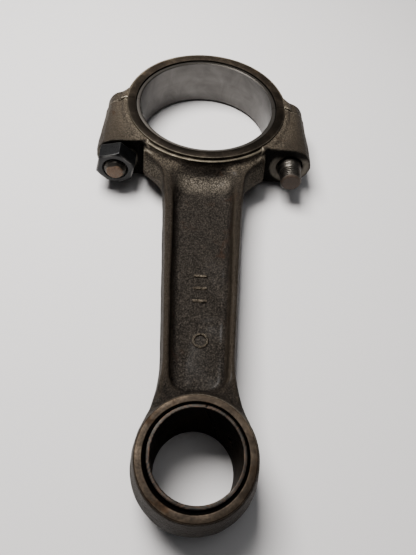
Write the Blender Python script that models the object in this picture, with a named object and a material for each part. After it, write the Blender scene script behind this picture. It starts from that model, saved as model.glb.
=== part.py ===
"""Connecting rod of a small four-stroke engine, lying flat, with its cap, bolts, nut, shells and bush.

Frame: +X across the rod, +Y along it from the small end to the cap, +Z up out of its face. The origin is under
the middle of the whole rod, on the surface it lies on. All lengths are in metres.
"""

import math

import bmesh
import bpy
from mathutils import Matrix, Vector

# ---- driving dimensions ----
CENTRE_DISTANCE = 0.130
FIT_GAP = 0.0003

BORE_RADIUS = 0.02675
THRUST_RING_RADIUS = 0.0301
RING_RADIUS = 0.0312
BIG_END_HALF_WIDTH = 0.0093
RING_BAND_HALF_WIDTH = 0.0085

BOLT_SPACING = 0.0644
BOLT_RADIUS = 0.0045
BOLT_HOLE_RADIUS = 0.00475
BOSS_RADIUS = 0.0080
BOSS_ROOT_STEP = 0.0002
BOLT_TIP_DROP = 0.0308
BOLT_TIP_CHAMFER = 0.0009
NUT_SEAT_DROP = 0.0225
NOTCH_WALL_X = 0.0220
NOTCH_CORNER_RADIUS = 0.0015

NUT_ACROSS_FLATS = 0.0130
NUT_THICKNESS = 0.0065
NUT_TURN = math.radians(15)
NUT_EDGE_CHAMFER = 0.0012
NUT_CHAMFER_SLOPE = math.radians(30)
NUT_COUNTERSINK = 0.0011

CAP_SHOULDER_RISE = 0.0070
CAP_SHOULDER_CHAMFER = 0.0028
CAP_ROOT_STEP = 0.0006
ROOT_INSIDE_X = 0.0200
CAP_RIB_RADIUS = 0.0337
CAP_RIB_HALF_WIDTH = 0.0040
CAP_RIB_DRAFT = 0.0008
HEAD_RADIUS = 0.0052
HEAD_RIM = 0.0011
HEAD_THICKNESS = 0.0031
HEAD_TOP_RADIUS = 0.0034
HEAD_FLAT_X = 0.0296

SHELL_INNER_RADIUS = 0.02520
SHELL_HALF_WIDTH = 0.0087
TANG_LENGTH = 0.0040
TANG_WIDTH = 0.0042
TANG_HEIGHT = 0.0005
TANG_OFFSET = 0.0032
TANG_ROOT_DEPTH = 0.0005

BEAM_HALF_HEIGHT = 0.0065
BEAM_DRAFT_INSET = 0.0013
WEB_HALF_THICKNESS = 0.0023
POCKET_DRAFT_INSET = 0.0017
POCKET_RING_CLEARANCE = 0.0006

EYE_FACE_RADIUS = 0.01445
EYE_RADIUS = 0.0164
EYE_HALF_WIDTH = 0.01135
EYE_WAIST_HALF_WIDTH = 0.0030
EYE_SHOULDER_WIDTH = 0.0007
EYE_SHOULDER_DEPTH = 0.0012
EYE_BORE_CHAMFER = 0.0008
BUSH_OUTER_RADIUS = 0.0120
BUSH_INNER_RADIUS = 0.0110
BUSH_HALF_WIDTH = 0.0110
BUSH_SEAM_WIDTH = 0.0003
BUSH_SEAM_ANGLE = math.radians(66)
BUSH_SEAM_SLANT = math.radians(14)
OIL_HOLE_RADIUS = 0.0013
OIL_HOLE_ANGLE = math.radians(33)

# ---- derived places ----
LENGTH = EYE_RADIUS + CENTRE_DISTANCE + CAP_RIB_RADIUS
BIG_END_Y = LENGTH / 2 - CAP_RIB_RADIUS
SMALL_END_Y = BIG_END_Y - CENTRE_DISTANCE
MID_Z = EYE_HALF_WIDTH
PARTING_GAP = FIT_GAP / 2
BOLT_X = BOLT_SPACING / 2
SHELL_OUTER_RADIUS = BORE_RADIUS - FIT_GAP
EYE_BORE_RADIUS = BUSH_OUTER_RADIUS + FIT_GAP
EYE_CENTRE = -CENTRE_DISTANCE
NOTCH_FOOT_Y = -0.060
UNCUT_PARTING = 0.002
OVERCUT = 0.0007
CUTTER_REACH = 0.1

# ---- how finely each round shape is divided ----
RING_SEGMENTS = 96
EYE_SEGMENTS = 72
NUT_SEGMENTS = 48
BOSS_SEGMENTS = 40
BOLT_SEGMENTS = 32
HOLE_SEGMENTS = 16

HIDDEN = bpy.data.collections.new("cutters_and_guides")


# ---- materials ----
def material(name, colour, roughness, metallic):
    """A plain Principled material."""
    made = bpy.data.materials.new(name)
    made.use_nodes = True
    shader = made.node_tree.nodes["Principled BSDF"]
    shader.inputs["Base Color"].default_value = (*colour, 1.0)
    shader.inputs["Roughness"].default_value = roughness
    shader.inputs["Metallic"].default_value = metallic
    return made


# ---- plan outlines ----
def rounded(corners, steps=6):
    """The outline through (x, y, radius) corners, each corner turned into an arc of its radius."""
    points = []
    for index, (x, y, radius) in enumerate(corners):
        here = Vector((x, y))
        back = Vector(corners[index - 1][:2]) - here
        ahead = Vector(corners[(index + 1) % len(corners)][:2]) - here
        if radius == 0:
            points.append(here)
            continue
        half = back.angle(ahead) / 2
        reach = radius / math.tan(half)
        centre = here + (back.normalized() + ahead.normalized()).normalized() * radius / math.sin(half)
        start = here + back.normalized() * reach - centre
        turn = start.angle_signed(here + ahead.normalized() * reach - centre)
        for step in range(steps + 1):
            points.append(centre + Matrix.Rotation(-turn * step / steps, 2) @ start)
    return points


def inset(outline, distance):
    """The outline of a counter-clockwise loop moved inwards by a distance."""
    moved = []
    for index, here in enumerate(outline):
        before = (here - outline[index - 1]).normalized()
        after = (outline[(index + 1) % len(outline)] - here).normalized()
        inward = Vector((-before.y - after.y, before.x + after.x)).normalized()
        stretch = max(inward.dot(Vector((-after.y, after.x))), 0.5)
        moved.append(here + inward * distance / stretch)
    return moved


def mirrored(right_side):
    """A closed loop from the corners of its right side, listed from the low end up, and their mirror images."""
    left_side = [(-x, y, radius) for x, y, radius in reversed(right_side)]
    return right_side + left_side


# ---- solids ----
def finish(mesh_data, name, finish_material, sharp_angle=math.radians(35)):
    """An object from a bmesh, with its faces turned outwards and its round sides shaded smooth."""
    bmesh.ops.remove_doubles(mesh_data, verts=mesh_data.verts, dist=1e-7)
    bmesh.ops.recalc_face_normals(mesh_data, faces=mesh_data.faces)
    mesh = bpy.data.meshes.new(name)
    mesh_data.to_mesh(mesh)
    mesh_data.free()
    mesh.shade_smooth()
    mesh.set_sharp_from_angle(angle=sharp_angle)
    if finish_material:
        mesh.materials.append(finish_material)
    made = bpy.data.objects.new(name, mesh)
    bpy.context.scene.collection.objects.link(made)
    return made


def turned(name, profile, segments, finish_material=None, closed=False):
    """A solid of revolution about Z. The (radius, height) profile is open where both its ends are on the axis."""
    work = bmesh.new()
    corners = [work.verts.new((radius, 0, height)) for radius, height in profile]
    pairs = list(zip(corners, corners[1:]))
    if closed:
        pairs.append((corners[-1], corners[0]))
    edges = [work.edges.new(pair) for pair in pairs]
    bmesh.ops.spin(
        work,
        geom=corners + edges,
        cent=(0, 0, 0),
        axis=(0, 0, 1),
        angle=math.tau,
        steps=segments,
        use_merge=True,
    )
    return finish(work, name, finish_material)


def lofted(name, loops, finish_material=None):
    """A solid through loops of (outline, height), all with the same number of points, capped at both ends."""
    work = bmesh.new()
    rows = [[work.verts.new((point.x, point.y, height)) for point in outline] for outline, height in loops]
    count = len(rows[0])
    for low, high in zip(rows, rows[1:]):
        for index in range(count):
            after = (index + 1) % count
            work.faces.new((low[index], low[after], high[after], high[index]))
    work.faces.new(list(reversed(rows[0])))
    work.faces.new(rows[-1])
    return finish(work, name, finish_material)


def block(name, low, high):
    """A box between two corners."""
    size = [b - a for a, b in zip(low, high)]
    centre = [(a + b) / 2 for a, b in zip(low, high)]
    work = bmesh.new()
    bmesh.ops.create_cube(work, size=1, matrix=Matrix.Translation(centre) @ Matrix.Diagonal((*size, 1)))
    return finish(work, name, None)


def rod(name, radius, low, high, segments=32):
    """A plain cylinder about Z between two heights."""
    return turned(name, [(0, low), (radius, low), (radius, high), (0, high)], segments)


def along_y(made, x, y, z=MID_Z):
    """Lays a piece turned about Z so that its height runs along +Y, and puts its zero at a place."""
    made.data.transform(Matrix.Rotation(-math.pi / 2, 4, "X"))
    made.location = (x, y, z)
    return made


def placed(made, x, y, z=MID_Z):
    """Puts a piece's own origin at a place."""
    made.location = (x, y, z)
    return made


def combine(base, helpers, operation):
    """Adds one Boolean for each helper, and keeps the helper out of the model itself."""
    for helper in helpers:
        modifier = base.modifiers.new(helper.name, "BOOLEAN")
        modifier.operation = operation
        modifier.object = helper
        modifier.solver = "EXACT"
        helper.hide_render = True
        helper.display_type = "WIRE"
        bpy.context.scene.collection.objects.unlink(helper)
        HIDDEN.objects.link(helper)


# ---- the outlines seen from above, from the big end's centre ----
def beam_outline():
    """The beam, its flare into the bolt bosses and its foot in the eye, at the forging's split line."""
    right_side = [
        (0.0080, EYE_CENTRE, 0),
        (0.0136, EYE_CENTRE + 0.0092, 0),
        (0.0109, EYE_CENTRE + 0.0200, 0.010),
        (0.0109, EYE_CENTRE + 0.0290, 0.060),
        (0.0142, -0.0405, 0.016),
        (NOTCH_WALL_X, -0.0290, 0.0015),
        (NOTCH_WALL_X, -0.0150, 0),
    ]
    return rounded(mirrored(right_side))


def pocket_outline():
    """The pocket in the beam's face, from the eye's step up to the ring. Its mouth is at the flange tops."""
    right_side = [
        (0.0079, EYE_CENTRE + 0.0160, 0.0055),
        (0.0098, -0.0330, 0.0045),
    ]
    return rounded(mirrored(right_side))


# ---- shared helpers of the big end ----
def big_end_ring(name, finish_material=None):
    """The whole turned ring: a thrust face at each end, and a slightly lower band round it."""
    profile = [
        (BORE_RADIUS, -BIG_END_HALF_WIDTH),
        (THRUST_RING_RADIUS, -BIG_END_HALF_WIDTH),
        (THRUST_RING_RADIUS, -RING_BAND_HALF_WIDTH),
        (RING_RADIUS, -RING_BAND_HALF_WIDTH),
        (RING_RADIUS, RING_BAND_HALF_WIDTH),
        (THRUST_RING_RADIUS, RING_BAND_HALF_WIDTH),
        (THRUST_RING_RADIUS, BIG_END_HALF_WIDTH),
        (BORE_RADIUS, BIG_END_HALF_WIDTH),
    ]
    ring = turned(name, profile, RING_SEGMENTS, finish_material, closed=True)
    return placed(ring, 0, BIG_END_Y)


def beyond_parting(name, side):
    """A box that holds all that is past the parting line: the cap's side for +1, the rod's for -1."""
    near = BIG_END_Y - side * PARTING_GAP
    far = BIG_END_Y + side * 2 * CUTTER_REACH
    low_y, high_y = sorted((near, far))
    return block(name, (-CUTTER_REACH, low_y, -CUTTER_REACH), (CUTTER_REACH, high_y, CUTTER_REACH))


def housing_bore(name):
    """The bore that the shells sit in, as a cutter through both faces."""
    return placed(rod(name, BORE_RADIUS, -CUTTER_REACH, CUTTER_REACH, RING_SEGMENTS), 0, BIG_END_Y)


def bolt_holes(prefix):
    """Both bolt holes, running past every face they meet."""
    holes = []
    for side, x in (("left", -BOLT_X), ("right", BOLT_X)):
        hole = rod(f"{prefix}_hole_{side}", BOLT_HOLE_RADIUS, -CUTTER_REACH, CUTTER_REACH)
        holes.append(along_y(hole, x, BIG_END_Y))
    return holes


def tang_notch(name, side):
    """The little notch in the housing that the shell's tang drops into."""
    low_y, high_y = sorted((side * (TANG_LENGTH + FIT_GAP), -side * OVERCUT))
    outer = BORE_RADIUS + TANG_HEIGHT
    half_width = TANG_WIDTH / 2 + FIT_GAP
    return block(
        name,
        (-outer, BIG_END_Y + low_y, MID_Z + tang_z(side) - half_width),
        (-SHELL_INNER_RADIUS, BIG_END_Y + high_y, MID_Z + tang_z(side) + half_width),
    )


def tang_z(side):
    """The tangs of the two shells sit apart, so that a shell can't go into the wrong half."""
    return -side * TANG_OFFSET


# ---- the pieces ----
def make_rod_body(steel):
    outline = beam_outline()
    top = inset(outline, BEAM_DRAFT_INSET)
    body = lofted(
        "rod_body",
        [(top, -BEAM_HALF_HEIGHT), (outline, 0), (top, BEAM_HALF_HEIGHT)],
        steel,
    )
    placed(body, 0, BIG_END_Y)

    shoulder_radius = EYE_FACE_RADIUS + EYE_SHOULDER_WIDTH
    shoulder_height = EYE_HALF_WIDTH - EYE_SHOULDER_DEPTH
    eye_profile = [
        (0, -EYE_HALF_WIDTH),
        (EYE_FACE_RADIUS, -EYE_HALF_WIDTH),
        (shoulder_radius, -shoulder_height),
        (EYE_RADIUS, -EYE_WAIST_HALF_WIDTH),
        (EYE_RADIUS, EYE_WAIST_HALF_WIDTH),
        (shoulder_radius, shoulder_height),
        (EYE_FACE_RADIUS, EYE_HALF_WIDTH),
        (0, EYE_HALF_WIDTH),
    ]
    eye = placed(turned("rod_eye_boss", eye_profile, EYE_SEGMENTS), 0, SMALL_END_Y)
    joined = [eye, big_end_ring("rod_ring")]
    uncut_seat = -NUT_SEAT_DROP - OVERCUT
    for side, sign in (("left", -1), ("right", 1)):
        boss = rod(f"rod_boss_{side}", BOSS_RADIUS, uncut_seat, UNCUT_PARTING, BOSS_SEGMENTS)
        joined.append(along_y(boss, sign * BOLT_X, BIG_END_Y))
        low_x, high_x = sorted((sign * (NOTCH_WALL_X - OVERCUT), sign * BOLT_X))
        half_height = BOSS_RADIUS - BOSS_ROOT_STEP
        root = block(
            f"rod_boss_root_{side}",
            (low_x, BIG_END_Y + uncut_seat, MID_Z - half_height),
            (high_x, BIG_END_Y + UNCUT_PARTING + OVERCUT, MID_Z + half_height),
        )
        joined.append(root)
    combine(body, joined, "UNION")

    pocket = pocket_outline()
    floor = inset(pocket, POCKET_DRAFT_INSET)
    mouth = inset(pocket, -POCKET_DRAFT_INSET)
    depth = BEAM_HALF_HEIGHT - WEB_HALF_THICKNESS
    removed = []
    for face, sign in (("top", 1), ("under", -1)):
        heights = [WEB_HALF_THICKNESS, BEAM_HALF_HEIGHT, BEAM_HALF_HEIGHT + depth]
        loops = [(loop, sign * height) for loop, height in zip((floor, pocket, mouth), heights)]
        cutter = lofted(f"pocket_{face}", loops)
        ring_side = RING_RADIUS + POCKET_RING_CLEARANCE
        keep_ring = rod(f"pocket_{face}_ring_side", ring_side, -CUTTER_REACH, CUTTER_REACH, RING_SEGMENTS)
        combine(cutter, [placed(keep_ring, 0, BIG_END_Y)], "DIFFERENCE")
        removed.append(placed(cutter, 0, BIG_END_Y))
    for side, sign in (("left", -1), ("right", 1)):
        low_x, high_x = sorted((sign * NOTCH_WALL_X, sign * CUTTER_REACH))
        corners = [
            (low_x, NOTCH_FOOT_Y, 0),
            (high_x, NOTCH_FOOT_Y, 0),
            (high_x, -NUT_SEAT_DROP, NOTCH_CORNER_RADIUS if sign < 0 else 0),
            (low_x, -NUT_SEAT_DROP, NOTCH_CORNER_RADIUS if sign > 0 else 0),
        ]
        outline = rounded(corners, 4)
        notch = lofted(f"nut_notch_{side}", [(outline, -CUTTER_REACH), (outline, CUTTER_REACH)])
        removed.append(placed(notch, 0, BIG_END_Y))
    removed.append(beyond_parting("cap_side", 1))
    removed.append(housing_bore("rod_housing_bore"))
    removed += bolt_holes("rod")
    removed.append(tang_notch("rod_tang_notch", -1))
    removed.append(eye_bore())
    combine(body, removed, "DIFFERENCE")
    return body


def eye_bore():
    """The small end's bore, opened out by a chamfer at each face."""
    mouth = EYE_BORE_RADIUS + EYE_BORE_CHAMFER
    past = EYE_HALF_WIDTH + EYE_BORE_CHAMFER
    profile = [
        (0, -past),
        (mouth + EYE_BORE_CHAMFER, -past),
        (mouth, -EYE_HALF_WIDTH),
        (EYE_BORE_RADIUS, -EYE_HALF_WIDTH + EYE_BORE_CHAMFER),
        (EYE_BORE_RADIUS, EYE_HALF_WIDTH - EYE_BORE_CHAMFER),
        (mouth, EYE_HALF_WIDTH),
        (mouth + EYE_BORE_CHAMFER, past),
        (0, past),
    ]
    return placed(turned("eye_bore", profile, EYE_SEGMENTS), 0, SMALL_END_Y)


def make_cap(steel):
    cap = big_end_ring("big_end_cap", steel)
    rib_inside = (BORE_RADIUS + RING_RADIUS) / 2
    rib_foot = RING_RADIUS - CAP_RIB_DRAFT / 4
    foot_half_width = CAP_RIB_HALF_WIDTH + CAP_RIB_DRAFT
    rib_profile = [
        (rib_inside, -foot_half_width),
        (rib_foot, -foot_half_width),
        (CAP_RIB_RADIUS, -CAP_RIB_HALF_WIDTH),
        (CAP_RIB_RADIUS, CAP_RIB_HALF_WIDTH),
        (rib_foot, foot_half_width),
        (rib_inside, foot_half_width),
    ]
    joined = [placed(turned("cap_rib", rib_profile, RING_SEGMENTS, closed=True), 0, BIG_END_Y)]
    for side, sign in (("left", -1), ("right", 1)):
        profile = [
            (0, -UNCUT_PARTING),
            (BOSS_RADIUS, -UNCUT_PARTING),
            (BOSS_RADIUS, CAP_SHOULDER_RISE - CAP_SHOULDER_CHAMFER),
            (BOSS_RADIUS - CAP_SHOULDER_CHAMFER, CAP_SHOULDER_RISE),
            (BOSS_RADIUS - CAP_SHOULDER_CHAMFER, CAP_SHOULDER_RISE + OVERCUT),
            (0, CAP_SHOULDER_RISE + OVERCUT),
        ]
        shoulder = turned(f"cap_shoulder_{side}", profile, BOSS_SEGMENTS)
        joined.append(along_y(shoulder, sign * BOLT_X, BIG_END_Y))
        joined.append(shoulder_root(f"cap_shoulder_root_{side}", sign))
    combine(cap, joined, "UNION")

    removed = [beyond_parting("rod_side", -1)]
    removed.append(housing_bore("cap_housing_bore"))
    removed += bolt_holes("cap")
    for side, sign in (("left", -1), ("right", 1)):
        low_x, high_x = sorted((sign * (HEAD_FLAT_X - FIT_GAP), sign * CUTTER_REACH))
        spot_face = block(
            f"head_seat_{side}",
            (low_x, BIG_END_Y + CAP_SHOULDER_RISE, -CUTTER_REACH),
            (high_x, BIG_END_Y + CAP_RIB_RADIUS, CUTTER_REACH),
        )
        removed.append(spot_face)
    removed.append(tang_notch("cap_tang_notch", 1))
    combine(cap, removed, "DIFFERENCE")
    return cap


def shoulder_root(name, sign):
    """The metal between the ring and a shoulder: a wedge that climbs the ring's outside."""
    right_side = [
        (ROOT_INSIDE_X, -UNCUT_PARTING, 0),
        (BOLT_X, -UNCUT_PARTING, 0),
        (BOLT_X, 0.0045, 0),
        (0.0306, 0.0055, 0.003),
        (0.0285, 0.0120, 0),
        (ROOT_INSIDE_X, 0.0150, 0),
    ]
    corners = [(sign * x, y, radius) for x, y, radius in right_side]
    outline = rounded(corners if sign > 0 else list(reversed(corners)))
    side = BOSS_RADIUS - CAP_ROOT_STEP
    return placed(lofted(name, [(outline, -side), (outline, side)]), 0, BIG_END_Y)


def make_shell(name, side, lining):
    """Half of the thin-walled bearing, with a tang pressed out at its left end."""
    profile = [
        (SHELL_INNER_RADIUS, -SHELL_HALF_WIDTH),
        (SHELL_OUTER_RADIUS, -SHELL_HALF_WIDTH),
        (SHELL_OUTER_RADIUS, SHELL_HALF_WIDTH),
        (SHELL_INNER_RADIUS, SHELL_HALF_WIDTH),
    ]
    shell = placed(turned(name, profile, RING_SEGMENTS, lining, closed=True), 0, BIG_END_Y)
    centre_z = MID_Z + tang_z(side)
    near_y, far_y = sorted((BIG_END_Y, BIG_END_Y + side * TANG_LENGTH))
    tang = block(
        f"{name}_tang",
        (-BORE_RADIUS - TANG_HEIGHT + FIT_GAP, near_y, centre_z - TANG_WIDTH / 2),
        (-SHELL_INNER_RADIUS - TANG_ROOT_DEPTH, far_y, centre_z + TANG_WIDTH / 2),
    )
    combine(shell, [tang], "UNION")
    combine(shell, [beyond_parting(f"{name}_other_half", -side)], "DIFFERENCE")
    return shell


def make_bolt(name, x, steel):
    """A fitted bolt: a low domed head with one flat against the ring, a plain shank and a chamfered tip."""
    seat = CAP_SHOULDER_RISE + FIT_GAP
    tip = BOLT_RADIUS - BOLT_TIP_CHAMFER
    profile = [
        (0, -BOLT_TIP_DROP),
        (tip, -BOLT_TIP_DROP),
        (BOLT_RADIUS, -BOLT_TIP_DROP + BOLT_TIP_CHAMFER),
        (BOLT_RADIUS, seat),
        (HEAD_RADIUS, seat),
        (HEAD_RADIUS, seat + HEAD_RIM),
        (HEAD_TOP_RADIUS, seat + HEAD_THICKNESS),
        (0, seat + HEAD_THICKNESS),
    ]
    bolt = along_y(turned(name, profile, BOLT_SEGMENTS, steel), x, BIG_END_Y)
    sign = math.copysign(1, x)
    low_x, high_x = sorted((0, sign * HEAD_FLAT_X))
    flat = block(
        f"{name}_flat",
        (low_x, BIG_END_Y + seat, -CUTTER_REACH),
        (high_x, BIG_END_Y + CUTTER_REACH, CUTTER_REACH),
    )
    combine(bolt, [flat], "DIFFERENCE")
    return bolt


def make_nut(name, x, steel):
    """A hexagon nut, its outer corners taken off by a turned chamfer and its thread's mouth countersunk."""
    corner = NUT_ACROSS_FLATS / math.sqrt(3)
    angles = [NUT_TURN + math.radians(60 * index) for index in range(6)]
    outline = [Vector((corner * math.cos(angle), -corner * math.sin(angle))) for angle in reversed(angles)]
    outer = -NUT_SEAT_DROP - FIT_GAP - NUT_THICKNESS
    nut = lofted(name, [(outline, outer), (outline, outer + NUT_THICKNESS)], steel)
    along_y(nut, x, BIG_END_Y)
    bore = BOLT_RADIUS + FIT_GAP
    flat_radius = corner - NUT_EDGE_CHAMFER
    rim_radius = 2 * corner
    rim_rise = (rim_radius - flat_radius) * math.tan(NUT_CHAMFER_SLOPE)
    past_seat = outer + 2 * NUT_THICKNESS
    rim_profile = [
        (0, outer),
        (flat_radius, outer),
        (rim_radius, outer + rim_rise),
        (rim_radius, past_seat),
        (0, past_seat),
    ]
    rim = along_y(turned(f"{name}_rim", rim_profile, NUT_SEGMENTS), x, BIG_END_Y)
    combine(nut, [rim], "INTERSECT")
    bore_profile = [
        (0, outer - NUT_COUNTERSINK),
        (bore + 2 * NUT_COUNTERSINK, outer - NUT_COUNTERSINK),
        (bore, outer + NUT_COUNTERSINK),
        (bore, past_seat),
        (0, past_seat),
    ]
    hole = along_y(turned(f"{name}_thread", bore_profile, BOLT_SEGMENTS), x, BIG_END_Y)
    combine(nut, [hole], "DIFFERENCE")
    return nut


def make_bush(bronze):
    """A wrapped bush: a thin tube with a slanting seam and one oil hole."""
    profile = [
        (BUSH_INNER_RADIUS, -BUSH_HALF_WIDTH),
        (BUSH_OUTER_RADIUS, -BUSH_HALF_WIDTH),
        (BUSH_OUTER_RADIUS, BUSH_HALF_WIDTH),
        (BUSH_INNER_RADIUS, BUSH_HALF_WIDTH),
    ]
    bush = placed(turned("small_end_bush", profile, EYE_SEGMENTS, bronze, closed=True), 0, SMALL_END_Y)
    middle = (BUSH_INNER_RADIUS + BUSH_OUTER_RADIUS) / 2
    wall = BUSH_OUTER_RADIUS - BUSH_INNER_RADIUS
    seam = block(
        "bush_seam",
        (-2 * wall, -BUSH_SEAM_WIDTH / 2, -2 * BUSH_HALF_WIDTH),
        (2 * wall, BUSH_SEAM_WIDTH / 2, 2 * BUSH_HALF_WIDTH),
    )
    seam.data.transform(Matrix.Translation((middle, 0, 0)) @ Matrix.Rotation(BUSH_SEAM_SLANT, 4, "X"))
    seam.data.transform(Matrix.Rotation(BUSH_SEAM_ANGLE, 4, "Z"))
    placed(seam, 0, SMALL_END_Y)
    hole_start = BUSH_INNER_RADIUS / 2
    hole_end = 2 * BUSH_OUTER_RADIUS
    oil_hole = rod("bush_oil_hole", OIL_HOLE_RADIUS, hole_start, hole_end, HOLE_SEGMENTS)
    oil_hole.data.transform(Matrix.Rotation(math.pi / 2, 4, "Y"))
    oil_hole.data.transform(Matrix.Rotation(OIL_HOLE_ANGLE, 4, "Z"))
    placed(oil_hole, 0, SMALL_END_Y)
    combine(bush, [seam, oil_hole], "DIFFERENCE")
    return bush


def main():
    for old in list(bpy.data.objects):
        bpy.data.objects.remove(old)
    bpy.context.scene.collection.children.link(HIDDEN)
    forged = material("forged_steel", (0.085, 0.075, 0.065), 0.5, 0.85)
    bolt_steel = material("bolt_steel", (0.16, 0.13, 0.10), 0.4, 0.9)
    black_oxide = material("black_nut", (0.02, 0.02, 0.022), 0.45, 0.7)
    lining = material("bearing_lining", (0.36, 0.35, 0.33), 0.35, 1.0)
    bronze = material("bush_bronze", (0.33, 0.16, 0.09), 0.4, 1.0)
    make_rod_body(forged)
    make_cap(forged)
    make_shell("big_end_shell_rod_side", -1, lining)
    make_shell("big_end_shell_cap_side", 1, lining)
    make_bolt("rod_bolt_left", -BOLT_X, bolt_steel)
    make_bolt("rod_bolt_right", BOLT_X, bolt_steel)
    make_nut("rod_nut_left", -BOLT_X, black_oxide)
    make_bush(bronze)


main()
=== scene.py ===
"""The looks of a used connecting rod: forged beam and bosses, turned faces, bolts, nut, shells and bush.

Lengths inside the shape functions are millimetres from the middle of the big end's bore: +X across the rod, +Y
towards the cap, +Z up from the rod's mid-plane. place() carries them into the frame.

The forgings are blended solids with draft, fillets and drilled holes all at once, which no grid of two parameters
gives, so they are the zero surface of a field worked out over whole arrays. Every other piece is a profile carried
round an axis, or a function of an angle and a place along the profile.
"""

import math

import bpy
import numpy as np
from mathutils import Matrix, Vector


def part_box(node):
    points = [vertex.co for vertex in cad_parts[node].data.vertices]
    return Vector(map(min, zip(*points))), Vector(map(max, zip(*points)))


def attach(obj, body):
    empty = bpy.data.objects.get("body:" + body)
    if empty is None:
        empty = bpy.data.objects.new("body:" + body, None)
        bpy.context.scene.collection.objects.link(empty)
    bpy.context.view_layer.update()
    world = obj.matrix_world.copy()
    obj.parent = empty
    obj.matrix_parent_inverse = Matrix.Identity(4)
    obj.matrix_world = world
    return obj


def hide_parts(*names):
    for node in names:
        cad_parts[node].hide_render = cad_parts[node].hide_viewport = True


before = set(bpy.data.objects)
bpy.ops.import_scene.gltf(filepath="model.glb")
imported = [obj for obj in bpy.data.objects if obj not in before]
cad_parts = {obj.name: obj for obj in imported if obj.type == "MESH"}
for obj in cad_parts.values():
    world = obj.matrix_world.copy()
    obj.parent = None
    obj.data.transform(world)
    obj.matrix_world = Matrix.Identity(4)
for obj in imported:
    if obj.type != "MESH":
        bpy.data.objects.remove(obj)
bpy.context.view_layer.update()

# ---- where the frame puts the two bores ----
MM = 0.001
ROD_LOW, ROD_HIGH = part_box("rod_body")
BUSH_LOW, BUSH_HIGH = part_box("small_end_bush")
CENTRE_DISTANCE = 130.0
MID_Z = (ROD_LOW.z + ROD_HIGH.z) / 2
BIG_END_Y = (BUSH_LOW.y + BUSH_HIGH.y) / 2 + CENTRE_DISTANCE * MM
ORIGIN = np.array([0.0, BIG_END_Y, MID_Z])
EYE_Y = -CENTRE_DISTANCE

# ---- sizes, in millimetres ----
BORE = 26.75
THRUST = 30.1
BAND = 31.45
BIG_HALF = 9.3
BAND_HALF = 8.5
PARTING = 0.10
BOLT_X = 32.2
BOLT = 4.4
THREAD = 3.92
THREAD_PITCH = 0.9
THREAD_DEPTH = 0.30
HOLE = 4.75
SEAT_Y = -22.5
TIP_Y = -30.8
NOTCH_X = 22.0
CAP_RISE = 7.0
CAP_OFF_CENTRE = 0.75
HEAD_FLAT_X = 29.6
HEAD_SEAT = CAP_RISE + 0.06
NUT_HALF = 6.5
NUT_HEIGHT = 6.5
NUT_TURN = 15  # degrees
FLANGE = 6.5
WEB = 2.3
DRAFT = 0.165
EYE_HALF = 11.35
EYE_FACE = 14.45
EYE_BORE = 12.3
SHELL_INNER = 25.2
SHELL_HALF = 8.7
BUSH_INNER = 11.0
BUSH_OUTER = 12.0
BUSH_HALF = 11.0
OIL_WAY_AT = 33  # degrees round the small end from +X
SEAM_AT = 66
TANG_Z = 3.2


# ---- blends of fields ----
def smooth_max(a, b, k):
    """The larger of two fields, their crease filled over a width k."""
    near = np.maximum(k - np.abs(a - b), 0) / k
    return np.maximum(a, b) + near * near * k * 0.25


def smooth_min(a, b, k):
    """The smaller of two fields, their crease filled over a width k."""
    return -smooth_max(-a, -b, k)


def round_max(a, b, r):
    """What lies in both shapes, with their common edge rounded to a radius r."""
    return np.minimum(np.maximum(a, b), -r) + np.hypot(np.maximum(a + r, 0), np.maximum(b + r, 0))


def round_min(a, b, r):
    """What lies in either shape, with a fillet of radius r between them."""
    return -round_max(-a, -b, r)


def ease(value, low, high):
    """0 below low, 1 above high, and a smooth rise between."""
    t = np.clip((value - low) / (high - low), 0, 1)
    return t * t * (3 - 2 * t)


# ---- the rod's forging ----
def ball(x, y, z, centre, radius):
    """The distance past a ball's surface."""
    return np.sqrt((x - centre[0]) ** 2 + (y - centre[1]) ** 2 + (z - centre[2]) ** 2) - radius


def along_and_across(x, y, degrees):
    """How far a point lies along a direction in the XY plane, and across it."""
    turn = math.radians(degrees)
    return x * math.cos(turn) + y * math.sin(turn), -x * math.sin(turn) + y * math.cos(turn)


def beam_half_width(y, a):
    """Half the beam's width before its draft: a straight taper, a foot that spreads into the eye, and a flare into
    the bolt bosses that curves out with the square of the way along it, less so towards the flange tops."""
    taper = 10.9 + 0.0545 * (y + 101)
    climb = np.maximum(y + 39.2, 0)
    flare = 13.7 + 0.45 * np.minimum(y + 39.2, 0) + 0.06 * climb + (0.080 - 0.0066 * a) * climb**2
    foot = 10.9 - 0.25 * (np.maximum(y, -124) + 110)
    return np.minimum(smooth_max(smooth_max(taper, flare, 1.8), foot, 1.8), 27.0)


def beam(x, y, a, s):
    """The I section: a drafted slab with rounded flange tops, less a pocket whose walls lean and whose floor curves
    up into them."""
    half = beam_half_width(y, a)
    slope = (beam_half_width(y + 0.05, a) - beam_half_width(y - 0.05, a)) * 10
    lean = DRAFT * (1 - 0.55 * ease(y, -52, -40))
    flank = (s - half + lean * a) / np.sqrt(1 + slope**2 + DRAFT**2)
    slab = round_max(flank, a - FLANGE, 0.7)
    slab = np.maximum(slab, np.maximum(y + 10, -126 - y))
    mouth = smooth_min(9.97 + 0.05 * np.maximum(y + 60, 0), 8.12 + 0.0425 * (y + 107), 1.0)
    radial = np.hypot(x, y)
    plan = round_max(s - mouth, -113.4 - y, 5.0)
    plan = round_max(plan, 32.2 - radial, 6.5)
    floor_radius = 1.9 + 3.6 * ease(y, -50, -38)
    pocket = round_max(plan + 0.2 * (FLANGE - a), WEB - a, floor_radius)
    return round_max(slab, -pocket, 0.85 + 1.2 * ease(y, -46, -36))


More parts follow.
